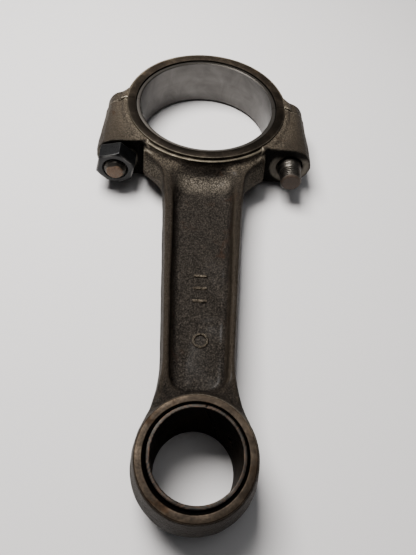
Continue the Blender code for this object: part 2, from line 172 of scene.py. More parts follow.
def mark_field(x, y, z):
    """Raised marks on the web's upper side: three plain bars in a row, and a ring, with leaning sides and round
    tops, sunk a little way into the web."""
    plan = np.abs(np.hypot(x - 0.4, y + 96.9) - 2.0) - 0.5
    for centre in (-75.0, -79.4, -83.8):
        along = np.maximum(np.abs(x + 0.1) - 1.7, 0)
        plan = np.minimum(plan, np.hypot(along, y - centre) - 0.62)
    return round_max(plan + 0.5 * (z - WEB), np.abs(z - WEB) - 0.45, 0.2)


def bolt_boss(x, y, s, z, a):
    """A boss about the bolt, fuller towards the nut's seat, and the land that ties it to the ring."""
    rad = np.hypot(s - BOLT_X, z)
    full = ease(-y, 0, 18)
    radius = np.where(x > 0, 7.3 + 0.52 * full, 6.95 + 0.48 * full)
    nub = 0.38 * ease(-y, 12.5, 15.5) * ease(y, -22.0, -19.5) * (x < 0) * np.exp(-((a / 1.8) ** 2))
    boss = rad - radius - nub
    fall = 0.018 * np.maximum(s - 24, 0) ** 2
    land = np.maximum(a - 8.25 + fall, np.maximum(s - 36.0, 21.0 - s))
    both = smooth_min(boss, land, 2.2)
    return np.maximum(both, np.maximum(y - 2, -23.6 - y))


def forge_ripple(x, y, z):
    """The low, slow unevenness of a hammered surface, a few hundredths of a millimetre high."""
    first = np.sin(0.41 * x + 1.3) * np.sin(0.33 * y + 0.7 * np.sin(0.21 * x)) * 0.055
    second = np.sin(0.93 * x + 0.61 * y) * np.sin(0.83 * z - 0.52 * y + 2.0) * 0.03
    return first + second


def rod_field(x, y, z):
    """Beam, eye, ring and bosses blended into one, then notches, parting face, bores and holes cut."""
    a, s = np.abs(z), np.abs(x)
    radial = np.hypot(x, y)
    body = beam(x, y, a, s)
    eye_radial = np.hypot(x, y - EYE_Y + 0.1)
    eye = round_max(eye_radial - 16.3 + 0.13 * a, a - EYE_HALF + 0.25, 1.3)
    body = round_min(body, eye, 2.4)
    ring = round_max(radial - BAND - 0.06 * (8.3 - a), a - 8.3, 0.5)
    body = round_min(body, ring, 2.0)
    body = round_min(body, bolt_boss(x, y, s, z, a), 1.6)
    body = body + forge_ripple(x, y, z) - 0.055 * np.exp(-((a / 0.6) ** 2)) * ease(y, -112, -104)
    for nick, radius in (((11.6, -105.2, 6.3), 1.5), ((-14.1, -119.0, 7.0), 1.4)):
        body = smooth_max(body, -ball(x, y, z, nick, radius), 0.4)
    notch = round_max(NOTCH_X - s, y - SEAT_Y, 1.6)
    body = round_max(body, -notch, 0.35)
    body = round_max(body, y + PARTING, 0.25)
    body = round_max(body, 28.5 - radial, 0.2)
    hole = np.hypot(s - BOLT_X, z) - HOLE - 0.35 * ease(-y, 21.9, 22.5)
    body = round_max(body, -hole, 0.15)
    bore = np.hypot(x, y - EYE_Y)
    body = round_max(body, EYE_BORE + 0.02 - bore, 0.2)
    body = round_max(body, -np.maximum(bore - 13.5, EYE_HALF - 1.1 - a), 0.1)
    out, across = along_and_across(x, y - EYE_Y, OIL_WAY_AT)
    oil_way = np.maximum(np.hypot(across, z) - 1.3, np.abs(out - 12.6) - 2.4)
    return np.maximum(body, -oil_way)


def cap_field(x, y, z):
    """The cap: a half ring with a rib round its back, two shoulders filleted into it, and the seats and holes cut."""
    a, s = np.abs(z), np.abs(x)
    radial = np.hypot(x, y)
    outside = np.hypot(x, y - CAP_OFF_CENTRE * ease(y, 4, 28))
    ring = round_max(outside - 31.0 - 0.03 * (8.3 - a), a - 8.3, 0.6)
    rib = round_max(radial - 33.55, a - 3.8 - 0.22 * (33.6 - radial), 1.1)
    body = round_min(ring, rib, 1.6)
    shoulder = round_max(np.hypot((s - BOLT_X) * np.where(x < 0, 1.14, 1.08), z) - 7.45, y - CAP_RISE, 2.6)
    root = round_max(a - 7.7, y - 4.8, 1.6)
    root = np.maximum(root, np.maximum(s - BOLT_X, 22 - s))
    body = round_min(body, smooth_min(shoulder, root, 1.2), 3.4)
    body = body + forge_ripple(x, y, z) - 0.05 * np.exp(-((a / 0.6) ** 2))
    seat = round_max(HEAD_FLAT_X - 0.3 - s, CAP_RISE - y, 0.8)
    body = round_max(body, -seat, 0.3)
    body = round_max(body, PARTING - y, 0.25)
    body = round_max(body, 28.5 - radial, 0.2)
    return round_max(body, HOLE - np.hypot(s - BOLT_X, z), 0.15)


def bush_field(x, y, z):
    """A thin tube with rounded lips, less its slanting seam and its oil hole."""
    y = y - EYE_Y
    radial = np.hypot(x, y)
    wall = (BUSH_OUTER + BUSH_INNER) / 2
    tube = round_max(np.abs(radial - wall) - (BUSH_OUTER - BUSH_INNER) / 2, np.abs(z) - BUSH_HALF, 0.2)
    out, across = along_and_across(x, y, SEAM_AT)
    seam = np.maximum(np.abs(across - math.tan(math.radians(14)) * z) - 0.09, -out)
    out, across = along_and_across(x, y, OIL_WAY_AT)
    oil_hole = np.maximum(np.hypot(across, z) - 1.25, -out)
    return round_max(round_max(tube, -seam, 0.12), -oil_hole, 0.12)


# ---- from a field to a mesh ----
def slope_of(field, points, reach=0.02):
    """The field's slope at each point, from its change over a short way along each axis."""
    slope = np.empty_like(points)
    for axis in range(3):
        step = np.zeros(3)
        step[axis] = reach
        slope[:, axis] = (field(*(points + step).T) - field(*(points - step).T)) / (2 * reach)
    return slope


def settle(field, points, times):
    """Moves each point along the slope until the field there is zero."""
    for _ in range(times):
        slope = slope_of(field, points)
        length = np.maximum((slope**2).sum(1), 0.05)
        points = points - slope * (np.clip(field(*points.T), -0.6, 0.6) / length)[:, None]
    return points


def skin(field, low, high, step):
    """The field's zero surface inside a box. Each grid cell that the surface crosses gets one point, and each grid
    edge that it crosses gets a four-sided face through the four cells round it. The points are evened out over
    their neighbours and settled back onto the surface."""
    axes = [np.arange(start, end + size, size) for start, end, size in zip(low, high, step)]
    inside = np.empty([len(axis) for axis in axes], bool)
    for start in range(0, len(axes[1]), 24):
        rows = slice(start, start + 24)
        grid = np.meshgrid(axes[0], axes[1][rows], axes[2], indexing="ij")
        inside[:, rows, :] = field(*grid) < 0
    sides = (slice(None, -1), slice(1, None))
    corners = sum(inside[i, j, k].astype(np.int8) for i in sides for j in sides for k in sides)
    crossed = (corners > 0) & (corners < 8)
    number = np.full(crossed.shape, -1, np.int32)
    number[crossed] = np.arange(crossed.sum(), dtype=np.int32)
    cells = np.argwhere(crossed)
    points = np.stack([axes[axis][cells[:, axis]] + step[axis] / 2 for axis in range(3)], 1)
    faces = []
    for axis in range(3):
        turned = np.moveaxis(inside, (axis, (axis + 1) % 3, (axis + 2) % 3), (0, 1, 2))
        count = np.moveaxis(number, (axis, (axis + 1) % 3, (axis + 2) % 3), (0, 1, 2))
        before, after = turned[:-1, 1:-1, 1:-1], turned[1:, 1:-1, 1:-1]
        for wanted, order in ((before & ~after, (0, 1, 2, 3)), (~before & after, (3, 2, 1, 0))):
            i, j, k = np.nonzero(wanted)
            round_edge = [count[i, j, k], count[i, j + 1, k], count[i, j + 1, k + 1], count[i, j, k + 1]]
            faces.append(np.stack([round_edge[n] for n in order], 1))
    faces = np.concatenate(faces)
    points = settle(field, points, 2)
    ends = np.concatenate([faces[:, [0, 1]], faces[:, [1, 2]], faces[:, [2, 3]], faces[:, [3, 0]]])
    share = np.bincount(ends[:, 0], minlength=len(points))[:, None]
    for _ in range(2):
        total = np.stack([np.bincount(ends[:, 0], points[ends[:, 1], n], len(points)) for n in range(3)], 1)
        points = settle(field, 0.5 * points + 0.5 * total / share, 2)
    return sharpened(field, settle(field, points, 1), faces, min(step) * 0.45), faces


def sharpened(field, points, faces, most):
    """Moves each point, by no more than a given way, to where the planes of the surface at the middles of the faces
    round it meet, so that a crisp edge keeps its line."""
    middles = settle(field, points[faces].mean(1), 2)
    slope = slope_of(field, middles)
    slope /= np.linalg.norm(slope, axis=1, keepdims=True)
    height = (slope * middles).sum(1)
    corner, size = faces.T.ravel(), len(points)
    pull = np.zeros((size, 3, 3)) + 0.08 * np.eye(3)
    target = 0.08 * points
    for i in range(3):
        target[:, i] += np.bincount(corner, np.tile(slope[:, i] * height, 4), size)
        for j in range(3):
            pull[:, i, j] += np.bincount(corner, np.tile(slope[:, i] * slope[:, j], 4), size)
    move = np.linalg.solve(pull, target[:, :, None])[:, :, 0] - points
    length = np.linalg.norm(move, axis=1, keepdims=True)
    return points + move * np.minimum(1, most / np.maximum(length, 1e-9))


def edge_measure(field, points, normals, reach):
    """How convex the surface is over a reach: above zero on an edge, below zero in a corner, from the field's values
    a little way out of and into the surface."""
    out = field(*(points + normals * reach).T)
    into = field(*(points - normals * reach).T)
    return (out + into) / reach


# ---- meshes ----
def place(points):
    """Millimetres from the big end's centre, carried into the frame in metres."""
    return np.asarray(points, float) * MM + ORIGIN


def piece_from(name, points, faces, finish, body, nodes, normals=None, sharp=None, layers=None):
    """A mesh piece from its points and faces, riding on a body and standing for CAD nodes."""
    mesh = bpy.data.meshes.new(name)
    if isinstance(faces, np.ndarray):
        mesh.vertices.add(len(points))
        mesh.vertices.foreach_set("co", place(points).astype(np.float32).ravel())
        mesh.loops.add(faces.size)
        mesh.loops.foreach_set("vertex_index", faces.astype(np.int32).ravel())
        mesh.polygons.add(len(faces))
        mesh.polygons.foreach_set("loop_start", np.arange(0, faces.size, faces.shape[1], dtype=np.int32))
        mesh.update(calc_edges=True)
    else:
        mesh.from_pydata(place(points).tolist(), [], faces)
        mesh.update()
    mesh.shade_smooth()
    if sharp:
        mesh.set_sharp_from_angle(angle=math.radians(sharp))
    if normals is not None:
        mesh.normals_split_custom_set_from_vertices(normals.astype(np.float32))
    for layer, values in (layers or {}).items():
        made = mesh.attributes.new(layer, "FLOAT", "POINT")
        made.data.foreach_set("value", np.asarray(values, np.float32))
    mesh.materials.append(finish)
    piece = bpy.data.objects.new(name, mesh)
    bpy.context.scene.collection.objects.link(piece)
    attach(piece, body)
    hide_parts(*nodes)
    return piece


def notch_masks(points):
    """Where the notches are painted black, as shade and old oil, and where the nut's seats are bare milled steel."""
    x, y, z = points.T
    s = np.abs(x)
    from_bolt = np.hypot(s - BOLT_X, z)
    bare = ease(from_bolt, 7.7, 6.9) * ease(-y, 22.0, 22.3) * ease(z, 5.2, 2.6) * ease(s, 22.6, 24.0)
    # Painted shade: the notch walls and the upper part of each seat are made black, standing partly for old oil.
    notch_oil_and_shade = ease(s, 20.6, 21.9) * ease(-y, 21.9, 22.6) * ease(y, -27.0, -23.6)
    return {"bare": bare, "notch_oil_and_shade": notch_oil_and_shade * (1 - bare)}


def forged_piece(name, field, low, high, step, finish, body, nodes, masks=None):
    """A piece that is a field's surface, with its edge measure and masks kept on its points."""
    points, faces = skin(field, low, high, step)
    slope = slope_of(field, points)
    normals = slope / np.linalg.norm(slope, axis=1, keepdims=True)
    layers = {
        "edge_fine": edge_measure(field, points, normals, 0.7),
        "edge_broad": edge_measure(field, points, normals, 2.4),
        "facing": np.abs(normals[:, 2]),
        **(masks(points) if masks else {}),
    }
    print(name, len(faces) * 2, "triangles")
    return piece_from(name, points, faces, finish, body, nodes, normals=normals, layers=layers)


def softened(corners, steps=3):
    """A closed profile whose (radius, height, rounding) corners are turned into short arcs."""
    made = []
    for index, (r, h, rounding) in enumerate(corners):
        here = np.array((r, h), float)
        back = np.array(corners[index - 1][:2]) - here
        ahead = np.array(corners[(index + 1) % len(corners)][:2]) - here
        back, ahead = back / np.linalg.norm(back), ahead / np.linalg.norm(ahead)
        if rounding == 0:
            made.append(here)
            continue
        start, end = here + back * rounding, here + ahead * rounding
        for t in np.linspace(0, 1, steps + 1):
            made.append((1 - t) ** 2 * start + 2 * t * (1 - t) * here + t * t * end)
    return np.array(made)


def carried_round(profile, angles, closed):
    """A closed (radius, height) profile carried about Z through the angles, counted from +X. The points are
    (radius cos angle, radius sin angle, height), and an open sweep gets a flat face at each end."""
    count = len(profile)
    radius, height = profile[:, 0][None], profile[:, 1][None]
    turn = np.asarray(angles)[:, None]
    points = np.stack([radius * np.cos(turn), radius * np.sin(turn), height + 0 * turn], 2)
    rings = len(angles)
    i = np.arange(rings if closed else rings - 1)[:, None]
    j = np.arange(count)[None]
    a, b = i * count, (i + 1) % rings * count
    after = (j + 1) % count
    faces = np.stack([a + j, b + j, b + after, a + after], 2).reshape(-1, 4).tolist()
    if not closed:
        faces.append(list(range(count)))
        faces.append(list(range(rings * count - 1, (rings - 1) * count - 1, -1)))
    return points.reshape(-1, 3), faces


def facing_out(points, faces):
    """The faces, turned round if the volume that they enclose shows that they pointed inwards."""
    volume = 0.0
    for face in faces:
        corners = points[face]
        volume += (np.cross(corners[1:-1] - corners[0], corners[2:] - corners[0]) @ corners[0]).sum()
    return [face[::-1] for face in faces] if volume < 0 else faces


def half_ring(corners, side, steps=120):
    """A profile carried half way round the bore, on the rod's side for -1 or the cap's for +1, ending on the
    parting face."""
    start = math.pi if side < 0 else 0.0
    points, faces = carried_round(softened(corners), np.linspace(start, start + math.pi, steps + 1), False)
    flat = PARTING * 0.9
    points[:, 1] = side * np.maximum(side * points[:, 1], flat)
    return points, facing_out(points, faces)


def along_y(points, x):
    """Turns points made about Z so that their height runs along +Y, about a bolt's axis."""
    return np.stack([points[:, 0] + x, points[:, 2], -points[:, 1]], 1)


# ---- shader helpers ----
def new_material(name):
    made = bpy.data.materials.new(name)
    made.use_nodes = True
    return made, made.node_tree.nodes["Principled BSDF"]


def join(tree, value, socket):
    """Links another socket into this one, or sets it to a plain value. A colour needs no fourth number."""
    if isinstance(value, bpy.types.NodeSocket):
        tree.links.new(value, socket)
    elif socket.type == "RGBA" and isinstance(value, tuple):
        socket.default_value = (*value, 1)
    else:
        socket.default_value = value


def start_finish(name):
    """A new material, its tree, its shader and the place on the object that its patterns follow."""
    made, shader = new_material(name)
    return made, made.node_tree, shader, node(made.node_tree, "ShaderNodeTexCoord").outputs["Object"]


def node(tree, kind, values=None, **settings):
    """A node with its settings, and its inputs either set to values or joined to other sockets."""
    made = tree.nodes.new(kind)
    for key, value in settings.items():
        setattr(made, key, value)
    for key, value in (values or {}).items():
        join(tree, value, made.inputs[key])
    return made


def ramp(tree, value, stops):
    """A colour ramp through (place, colour) stops. A plain number stands for a grey."""
    made = node(tree, "ShaderNodeValToRGB", {0: value})
    while len(made.color_ramp.elements) < len(stops):
        made.color_ramp.elements.new(0.5)
    for element, (where, colour) in zip(made.color_ramp.elements, stops):
        element.position = where
        element.color = (*colour, 1) if isinstance(colour, tuple) else (colour, colour, colour, 1)
    return made.outputs[0]


def noise(tree, vector, scale, detail=3.0, roughness=0.55, distortion=0.0):
    settings = {"Vector": vector, "Scale": scale, "Detail": detail, "Roughness": roughness, "Distortion": distortion}
    return node(tree, "ShaderNodeTexNoise", settings).outputs["Fac"]


def calc(tree, operation, a, b=0.0, c=0.0, clamp=False):
    made = node(tree, "ShaderNodeMath", {0: a, 1: b, 2: c}, operation=operation, use_clamp=clamp)
    return made.outputs[0]


def times(tree, a, b):
    return calc(tree, "MULTIPLY", a, b)


def span(tree, value, low, high, smooth=False):
    """How far a value has come from low to high, as 0 to 1."""
    made = node(tree, "ShaderNodeMapRange", {"Value": value, "From Min": low, "From Max": high})
    if smooth:
        made.interpolation_type = "SMOOTHSTEP"
    return made.outputs[0]


def axis_of(tree, vector, axis):
    return node(tree, "ShaderNodeSeparateXYZ", {0: vector}).outputs[axis]


def from_mid_plane(tree, spot):
    """How far a place is above or below the rod's mid-plane."""
    return calc(tree, "ABSOLUTE", calc(tree, "SUBTRACT", axis_of(tree, spot, 2), MID_Z))


def kept(tree, layer):
    """A value kept on the mesh's points."""
    return node(tree, "ShaderNodeAttribute", attribute_name=layer).outputs["Fac"]


def in_millimetres(tree, vector):
    return node(tree, "ShaderNodeVectorMath", {0: vector, "Scale": 1000.0}, operation="SCALE").outputs[0]


def blend_colours(tree, factor, a, b, kind="MIX"):
    made = node(tree, "ShaderNodeMix", data_type="RGBA", blend_type=kind, clamp_factor=True)
    for socket, value in ((0, factor), (6, a), (7, b)):
        join(tree, value, made.inputs[socket])
    return made.outputs[2]


def new_group(name, inputs, outputs):
    """A shader group with named sockets. Returns the tree, its input sockets and its output node."""
    tree = bpy.data.node_groups.new(name, "ShaderNodeTree")
    for label, kind, value in inputs:
        socket = tree.interface.new_socket(name=label, in_out="INPUT", socket_type=kind)
        if value is not None:
            socket.default_value = value
    for label, kind in outputs:
        tree.interface.new_socket(name=label, in_out="OUTPUT", socket_type=kind)
    start = tree.nodes.new("NodeGroupInput")
    end = tree.nodes.new("NodeGroupOutput")
    return tree, start.outputs, end.inputs


FLOAT, COLOUR, VECTOR = "NodeSocketFloat", "NodeSocketColor", "NodeSocketVector"


def make_grain_group():
    """Forged grain: fine pits, coarser orange peel and slow patches, as a height and a patch mask."""
    tree, given, out = new_group(
        "forged grain",
        [("Place", VECTOR, None), ("Pit Size", FLOAT, 0.6), ("Patch Size", FLOAT, 9.0), ("Depth", FLOAT, 1.0)],
        [("Height", FLOAT), ("Pits", FLOAT), ("Patches", FLOAT)],
    )
    millimetres = in_millimetres(tree, given["Place"])
    pit_scale = calc(tree, "DIVIDE", 1.0, given["Pit Size"])
    pits = noise(tree, millimetres, pit_scale, 3.5, 0.62)
    peel = noise(tree, millimetres, times(tree, pit_scale, 0.33), 2.0, 0.5, 0.4)
    patches = noise(tree, millimetres, calc(tree, "DIVIDE", 1.0, given["Patch Size"]), 4.0, 0.6, 0.8)
    height = times(tree, calc(tree, "ADD", pits, times(tree, peel, 0.9)), given["Depth"])
    tree.links.new(height, out["Height"])
    tree.links.new(pits, out["Pits"])
    tree.links.new(patches, out["Patches"])
    return tree


def make_edge_group():
    """Edge wear: where the edge measure passes a limit, broken up by noise."""
    tree, given, out = new_group(
        "edge wear",
        [
            ("Place", VECTOR, None),
            ("Edge", FLOAT, 0.0),
            ("Start", FLOAT, 0.2),
            ("Full", FLOAT, 0.5),
            ("Breakup", FLOAT, 0.3),
        ],
        [("Mask", FLOAT)],
    )
    millimetres = in_millimetres(tree, given["Place"])
    rough = calc(tree, "SUBTRACT", noise(tree, millimetres, 0.9, 4.0, 0.65), 0.5)
    moved = calc(tree, "MULTIPLY_ADD", rough, given["Breakup"], given["Edge"])
    tree.links.new(span(tree, moved, given["Start"], given["Full"], smooth=True), out["Mask"])
    return tree


def make_turning_group():
    """Lathe marks: fine rings about an upright axis through a given place, unevenly deep, as a height."""
    tree, given, out = new_group(
        "turning marks",
        [("Place", VECTOR, None), ("Centre", VECTOR, (0.0, 0.0, 0.0)), ("Rings Per Millimetre", FLOAT, 4.0)],
        [("Height", FLOAT), ("Streaks", FLOAT), ("Radius", FLOAT)],
    )
    moved = node(tree, "ShaderNodeVectorMath", {0: given["Place"], 1: given["Centre"]}, operation="SUBTRACT")
    parts = node(tree, "ShaderNodeSeparateXYZ", {0: moved.outputs[0]}).outputs
    squares = calc(tree, "MULTIPLY_ADD", parts[0], parts[0], times(tree, parts[1], parts[1]))
    radius = times(tree, calc(tree, "SQRT", squares), 1000.0)
    steps = times(tree, radius, given["Rings Per Millimetre"])
    spread = times(tree, times(tree, parts[2], 1000.0), given["Rings Per Millimetre"])
    key = node(tree, "ShaderNodeCombineXYZ", {0: steps, 1: spread, 2: 0.0}).outputs[0]
    fine = noise(tree, key, 1.0, 2.0, 0.6)
    streaks = noise(tree, key, 0.22, 2.0, 0.5)
    tree.links.new(fine, out["Height"])
    tree.links.new(streaks, out["Streaks"])
    tree.links.new(radius, out["Radius"])
    return tree


def make_grime_group():
    """Old oil and rust: two soft masks that gather in slow patches."""
    tree, given, out = new_group(
        "oil and rust",
        [("Place", VECTOR, None), ("Rust", FLOAT, 0.3), ("Oil", FLOAT, 0.5)],
        [("Rust Mask", FLOAT), ("Oil Mask", FLOAT)],
    )
    millimetres = in_millimetres(tree, given["Place"])
    shifted = node(tree, "ShaderNodeVectorMath", {0: millimetres, 1: (37.0, 11.0, 5.0)}, operation="ADD").outputs[0]
    rust = noise(tree, shifted, 0.11, 5.0, 0.62, 1.2)
    oil = noise(tree, millimetres, 0.07, 4.0, 0.55, 0.6)
    for value, amount, label in ((rust, given["Rust"], "Rust Mask"), (oil, given["Oil"], "Oil Mask")):
        low = calc(tree, "SUBTRACT", 0.72, times(tree, amount, 0.42))
        mask = span(tree, value, low, calc(tree, "ADD", low, 0.16), smooth=True)
        tree.links.new(mask, out[label])
    return tree


GRAIN, EDGE, TURNING, GRIME = make_grain_group(), make_edge_group(), make_turning_group(), make_grime_group()


def effect(tree, group, values):
    """Places a shared group in a material. Returns its outputs."""
    made = tree.nodes.new("ShaderNodeGroup")
    made.node_tree = group
    for key, value in values.items():
        join(tree, value, made.inputs[key])
    return made.outputs


def bump(tree, height, distance, strength=1.0):
    return node(tree, "ShaderNodeBump", {"Height": height, "Distance": distance, "Strength": strength}).outputs[0]


def wire(tree, shader, **sockets):
    """Joins sockets to a shader's inputs, or sets them, with underscores for spaces."""
    for key, value in sockets.items():
        join(tree, value, shader.inputs[key.replace("_", " ")])


# ---- finishes ----
DARK_SCALE = (0.0045, 0.0038, 0.0034)
BROWN_SCALE = (0.0105, 0.0083, 0.0066)
PALE_SCALE = (0.018, 0.0148, 0.0118)
WEB_SCALE = (0.0185, 0.0158, 0.0132)
RAMP_HIGHLIGHT = (0.070, 0.060, 0.047)
TOP_SCALE = (0.0095, 0.0076, 0.0060)
RING_WORN = (0.050, 0.041, 0.030)
WARM_WORN = (0.046, 0.036, 0.025)
BRIGHT_WORN = (0.30, 0.26, 0.20)
BARE_STEEL = (0.20, 0.18, 0.15)
RUST = (0.030, 0.013, 0.006)
OIL_AND_SHADE_BLACK = (0.0022, 0.0018, 0.0016)
TIP_DARK = (0.014, 0.008, 0.005)
TIP_LIGHT = (0.078, 0.048, 0.029)
GROOVE_BLACK = (0.006, 0.005, 0.004)
BIG_CENTRE = (0.0, BIG_END_Y, 0.0)
SMALL_CENTRE = (0.0, BIG_END_Y - CENTRE_DISTANCE * MM, 0.0)


def by_radius(tree, radius, stops):
    """A colour for each radius in millimetres, blended evenly between (radius, colour) stops."""
    low, high = stops[0][0], stops[-1][0]
    places = [((at - low) / (high - low), colour) for at, colour in stops]
    return ramp(tree, span(tree, radius, low, high), places)


def forged_finish(name, rust_amount, rubbing=0.36):
    """Scale-dark forged steel: pitted and brown in patches, rubbed lighter on its flat tops and raised edges, worn
    pale round the big end's faces, and black with old oil in its corners. The pocket's end carries a painted
    highlight, and the notches are painted black as shade and old oil."""
    made, tree, shader, spot = start_finish(name)
    fine = kept(tree, "edge_fine")
    broad = kept(tree, "edge_broad")
    facing = kept(tree, "facing")
    grain = effect(tree, GRAIN, {"Place": spot, "Pit Size": 0.46, "Patch Size": 11.0})
    grime = effect(tree, GRIME, {"Place": spot, "Rust": rust_amount, "Oil": 0.45})
    rings = effect(tree, TURNING, {"Place": spot, "Centre": BIG_CENTRE, "Rings Per Millimetre": 1.0})
    rubbed = effect(tree, EDGE, {"Place": spot, "Edge": broad, "Start": 0.10, "Full": 0.80, "Breakup": 0.35})
    bright = effect(tree, EDGE, {"Place": spot, "Edge": fine, "Start": 0.22, "Full": 0.62, "Breakup": 0.5})
    hollow = calc(tree, "MULTIPLY", broad, -1.6, clamp=True)
    high = span(tree, from_mid_plane(tree, spot), 0.0040, 0.0062)
    flat = span(tree, facing, 0.62, 0.95)
    top = times(tree, high, flat)
    near = by_radius(tree, rings["Radius"], [(30.0, 1.0), (32.4, 0.85), (36.5, 0.25), (42.0, 0.0)])
    base = ramp(tree, grain["Patches"], [(0.30, DARK_SCALE), (0.52, BROWN_SCALE), (0.72, PALE_SCALE)])
    web = times(tree, calc(tree, "SUBTRACT", 1.0, high), flat)
    base = blend_colours(tree, times(tree, web, 0.7), base, WEB_SCALE)
    # Painted highlight: the ramp at the pocket's end, 33.5 to 42 mm from the big end's centre and below the flange
    # tops, is lightened.
    pocket_end_highlight = by_radius(tree, rings["Radius"], [(33.5, 0.0), (35.5, 1.0), (38.0, 0.9), (42.0, 0.0)])
    pocket_end_highlight = times(tree, times(tree, calc(tree, "SUBTRACT", 1.0, high), pocket_end_highlight), 0.75)
    base = blend_colours(tree, pocket_end_highlight, base, RAMP_HIGHLIGHT)
    base = blend_colours(tree, times(tree, top, 0.6), base, TOP_SCALE)
    base = blend_colours(tree, times(tree, top, near), base, RING_WORN)
    specks = ramp(tree, grain["Pits"], [(0.36, 0.2), (0.50, 0.9), (0.64, 2.8)])
    base = blend_colours(tree, 0.85, base, specks, "MULTIPLY")
    base = blend_colours(tree, times(tree, rubbed["Mask"], rubbing), base, WARM_WORN)
    base = blend_colours(tree, times(tree, grime["Rust Mask"], 0.45), base, RUST)
    shown = calc(tree, "MULTIPLY_ADD", high, 0.62, 0.08)
    base = blend_colours(tree, times(tree, bright["Mask"], shown), base, BRIGHT_WORN)
    base = blend_colours(tree, times(tree, hollow, 0.85), base, OIL_AND_SHADE_BLACK)
    notch_oil_and_shade = kept(tree, "notch_oil_and_shade")
    bare = kept(tree, "bare")
    # Painted shade and old oil: the notches are blended nearly to black.
    base = blend_colours(tree, times(tree, notch_oil_and_shade, 0.96), base, OIL_AND_SHADE_BLACK)
    base = blend_colours(tree, times(tree, bare, 0.9), base, BARE_STEEL)
    rough = calc(tree, "MULTIPLY_ADD", grain["Patches"], 0.24, 0.42)
    rough = calc(tree, "MULTIPLY_ADD", bright["Mask"], -0.14, rough)
    rough = calc(tree, "MULTIPLY_ADD", web, -0.10, rough)
    rough = calc(tree, "MULTIPLY_ADD", grime["Rust Mask"], 0.15, rough)
    metal = calc(tree, "MULTIPLY_ADD", bright["Mask"], 0.45, 0.35)
    metal = calc(tree, "MULTIPLY_ADD", web, 0.2, metal)
    coat = times(tree, grime["Oil Mask"], 0.05)
    normal = bump(tree, grain["Height"], 0.00045, 0.95)
    wire(tree, shader, Base_Color=base, Roughness=rough, Metallic=metal, Coat_Weight=coat, Normal=normal)
    wire(tree, shader, Coat_Roughness=0.25, Specular_IOR_Level=0.22, Specular_Tint=(0.40, 0.37, 0.33))
    return made


def turned_finish(name, centre, zones, roughness, marks, spots=0.3, rise=None):
    """Turned steel: coloured by its zones from the bore outwards, with fine rings about the bore's axis, streaked,
    dulled and stained by oil. A rise of (near, far, gain) paints it lighter from one place along Y to another, as a
    painted sheen."""
    made, tree, shader, spot = start_finish(name)
    rings = effect(tree, TURNING, {"Place": spot, "Centre": centre, "Rings Per Millimetre": marks})
    grain = effect(tree, GRAIN, {"Place": spot, "Pit Size": 0.6, "Patch Size": 7.0})
    grime = effect(tree, GRIME, {"Place": spot, "Rust": spots, "Oil": 0.4})
    base = by_radius(tree, rings["Radius"], zones)
    if rise:
        near, far, gain = rise
        share = span(tree, axis_of(tree, spot, 1), near, far)
        base = blend_colours(tree, 1.0, base, ramp(tree, share, [(0.0, 1.0), (1.0, gain)]), "MULTIPLY")
    patches = ramp(tree, grain["Patches"], [(0.30, 0.45), (0.52, 0.95), (0.70, 2.2)])
    base = blend_colours(tree, 0.8, base, patches, "MULTIPLY")
    tone = ramp(tree, rings["Streaks"], [(0.30, 0.75), (0.70, 1.25)])
    base = blend_colours(tree, 0.8, base, tone, "MULTIPLY")
    specks = ramp(tree, grain["Pits"], [(0.36, 0.5), (0.50, 1.0), (0.64, 1.5)])
    base = blend_colours(tree, 0.6, base, specks, "MULTIPLY")
    stain = blend_colours(tree, 1.0, base, (1.0, 0.62, 0.34), "MULTIPLY")
    base = blend_colours(tree, times(tree, grime["Rust Mask"], 0.55), base, stain)
    base = blend_colours(tree, times(tree, grime["Oil Mask"], 0.25), base, OIL_AND_SHADE_BLACK)
    rough = calc(tree, "MULTIPLY_ADD", rings["Streaks"], 0.16, roughness - 0.08)
    rough = calc(tree, "MULTIPLY_ADD", grime["Rust Mask"], 0.15, rough)
    normal = bump(tree, rings["Height"], 0.00005, 0.6)
    normal = node(
        tree, "ShaderNodeBump", {"Height": grain["Pits"], "Distance": 0.00006, "Strength": 0.5, "Normal": normal}
    ).outputs[0]
    wire(tree, shader, Base_Color=base, Roughness=rough, Metallic=0.85, Normal=normal)
    wire(tree, shader, Specular_Tint=(0.45, 0.42, 0.38))
    return made


def bolt_finish(name, tip_light, rust_reach):
    """Bolt steel: ground grey shank, darkened by oil, turning to brown rust at the tip over a given reach, as light
    as the tip is worn."""
    made, tree, shader, spot = start_finish(name)
    grain = effect(tree, GRAIN, {"Place": spot, "Pit Size": 0.35, "Patch Size": 3.0})
    grime = effect(tree, GRIME, {"Place": spot, "Rust": 0.35, "Oil": 0.5})
    tip = BIG_END_Y + TIP_Y * MM
    uneven = calc(tree, "SUBTRACT", grain["Patches"], 0.5)
    along = calc(tree, "MULTIPLY_ADD", uneven, 0.002, axis_of(tree, spot, 1))
    end = span(tree, along, tip + rust_reach, tip + rust_reach * 0.2)
    base = ramp(tree, grain["Patches"], [(0.30, (0.030, 0.027, 0.023)), (0.66, (0.105, 0.095, 0.082))])
    base = blend_colours(tree, times(tree, grime["Oil Mask"], 0.5), base, (0.022, 0.018, 0.014))
    dark, light = (tuple(part * tip_light for part in tone) for tone in (TIP_DARK, TIP_LIGHT))
    rusty = ramp(tree, grain["Pits"], [(0.35, dark), (0.65, light)])
    base = blend_colours(tree, times(tree, grime["Rust Mask"], 0.5), base, rusty)
    base = blend_colours(tree, times(tree, end, 0.9), base, rusty)
    rough = calc(tree, "MULTIPLY_ADD", end, 0.28, 0.36)
    metal = calc(tree, "MULTIPLY_ADD", end, -0.6, 0.95)
    normal = bump(tree, grain["Height"], 0.00008, 0.6)
    wire(tree, shader, Base_Color=base, Roughness=rough, Metallic=metal, Normal=normal)
    return made


